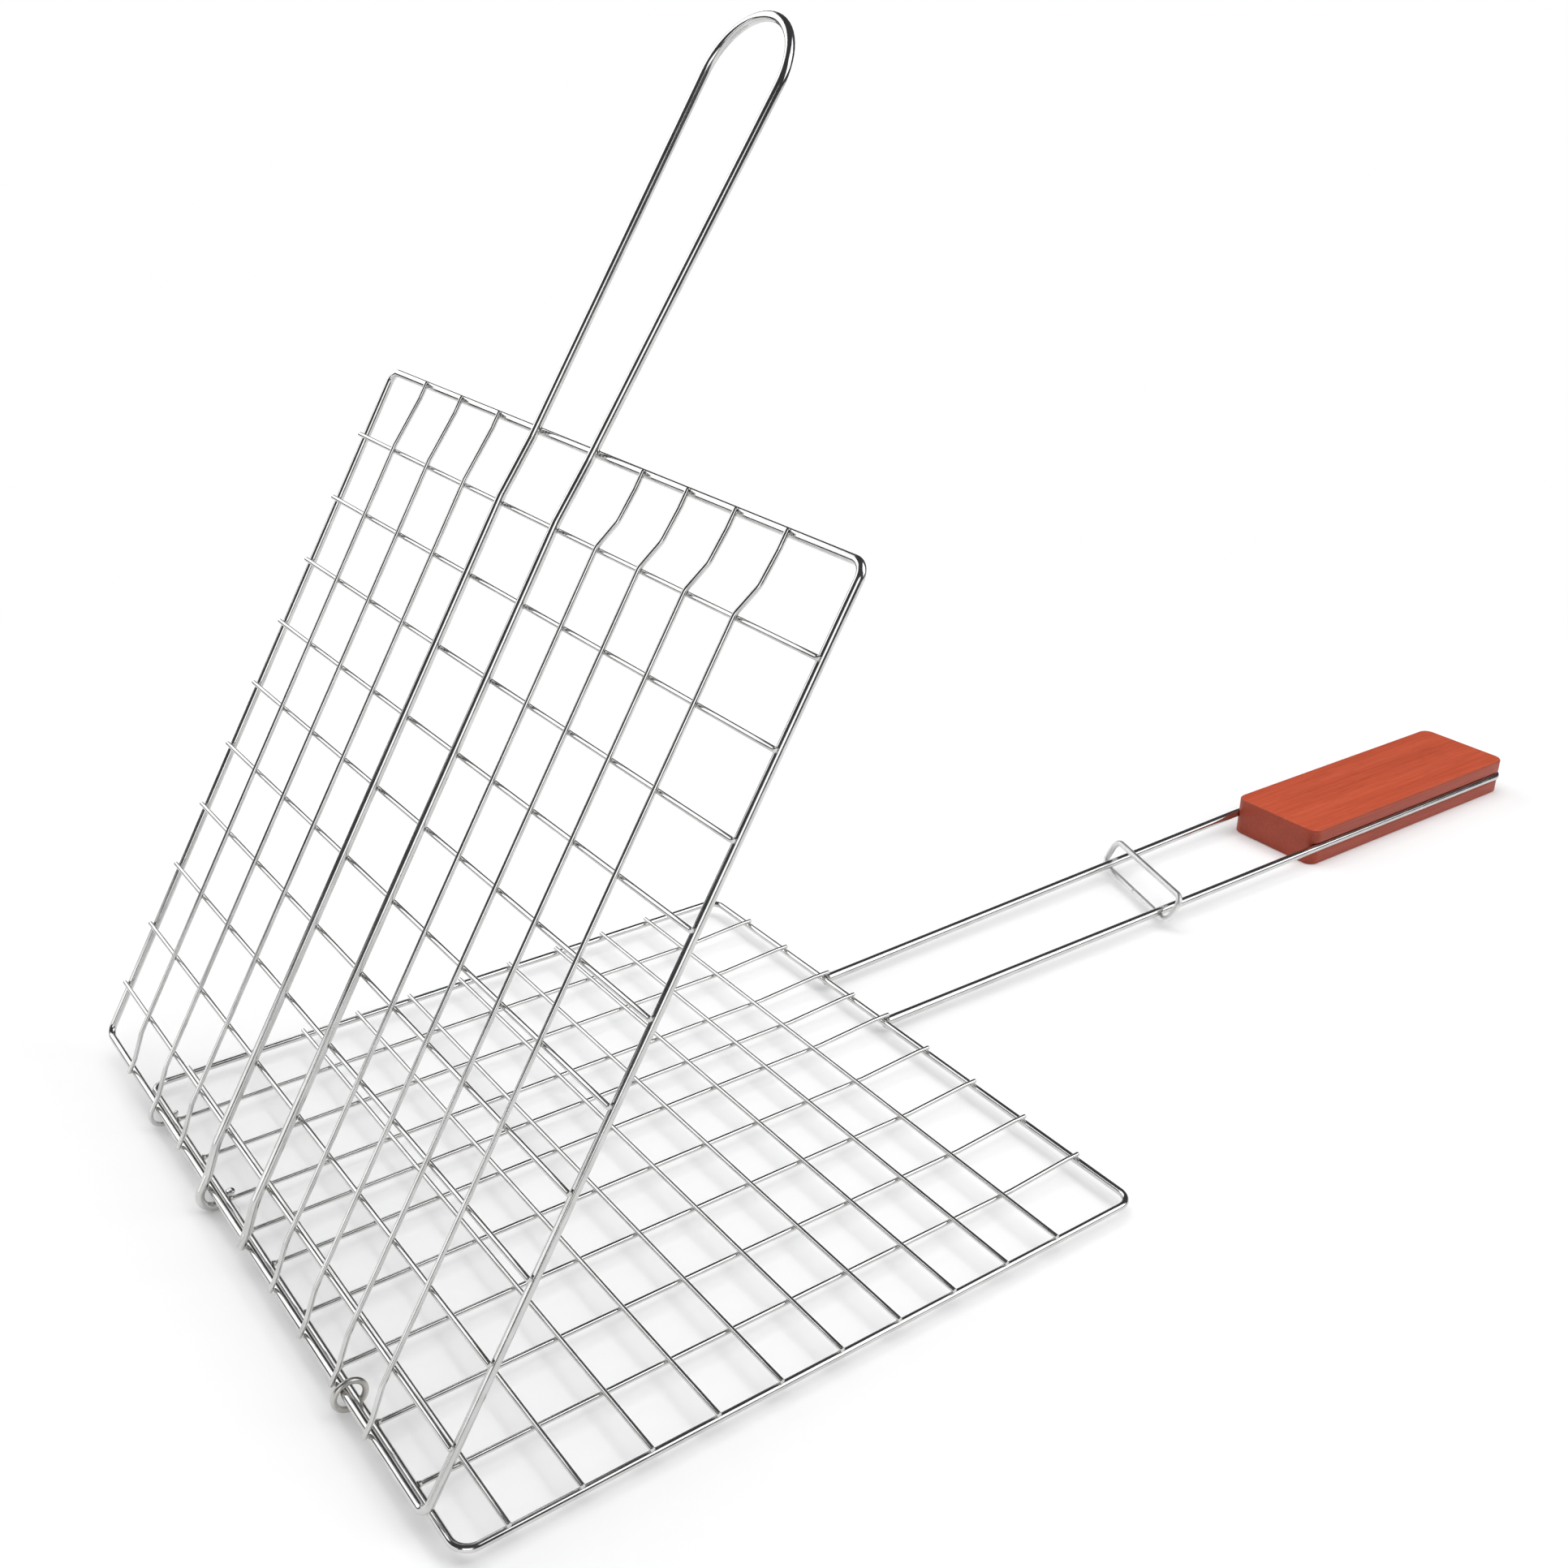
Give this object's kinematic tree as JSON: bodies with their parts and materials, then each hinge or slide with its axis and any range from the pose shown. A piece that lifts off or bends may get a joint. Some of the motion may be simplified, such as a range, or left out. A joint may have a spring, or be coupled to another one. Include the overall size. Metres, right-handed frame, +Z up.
{
  "type": "grill basket",
  "caption": "Hinged wire grill basket with a wooden-gripped long handle, a lid with its own loop handle and a ring that locks the two handles together.",
  "frame": {"origin": "bottom centre of the bounding box, with the basket lying level on a table and its lid open as pictured", "axes": "+X from the hinge side towards the wooden grip, +Y along the hinge towards the back of the basket, +Z up"},
  "size_m": [0.8114, 0.3532, 0.4434],
  "materials": {
    "steel": "bright plated steel wire",
    "ring_steel": "dull drawn steel wire",
    "wood": "red-brown stained hardwood, satin varnish"
  },
  "bodies": {
    "base": {"base_frame": "steel", "base_cross_wire_1": "steel", "base_cross_wire_2": "steel", "base_cross_wire_3": "steel", "base_cross_wire_4": "steel", "base_cross_wire_5": "steel", "base_cross_wire_6": "steel", "base_cross_wire_7": "steel", "base_cross_wire_8": "steel", "base_cross_wire_9": "steel", "base_cross_wire_10": "steel", "base_long_wire_1": "steel", "base_long_wire_2": "steel", "base_long_wire_3": "steel", "base_long_wire_4": "steel", "base_long_wire_5": "steel", "base_long_wire_6": "steel", "base_long_wire_7": "steel", "base_long_wire_8": "steel", "base_long_wire_9": "steel", "base_handle_wire": "steel", "wooden_grip": "wood"},
    "lid": {"lid_frame": "steel", "lid_cross_wire_1": "steel", "lid_cross_wire_2": "steel", "lid_cross_wire_3": "steel", "lid_cross_wire_4": "steel", "lid_cross_wire_5": "steel", "lid_cross_wire_6": "steel", "lid_cross_wire_7": "steel", "lid_cross_wire_8": "steel", "lid_cross_wire_9": "steel", "lid_cross_wire_10": "steel", "lid_front_wire_1": "steel", "lid_front_wire_2": "steel", "lid_front_wire_3": "steel", "lid_front_wire_4": "steel", "lid_back_wire_1": "steel", "lid_hook_wire": "steel", "lid_back_wire_3": "steel", "lid_handle_wire": "steel"},
    "slide_ring": {"slide_ring": "ring_steel"},
    "hinge_ring": {"hinge_ring": "ring_steel"}
  },
  "joints": [
    {"name": "lid_hinge", "type": "hinge", "parent": "base", "child": "lid", "pos_m": [-0.39531, 0, 0.0067], "axis": [0, -1, 0], "range_deg": [-60, 115]},
    {"name": "ring_slide", "type": "slide", "parent": "base", "child": "slide_ring", "axis": [0.9999, 0, 0.0161], "range_m": [-0.03, 0.085]},
    {"name": "hinge_ring_shift", "type": "slide", "parent": "lid", "child": "hinge_ring", "axis": [0, 1, 0], "range_m": [-0.012, 0.002]}
  ]
}
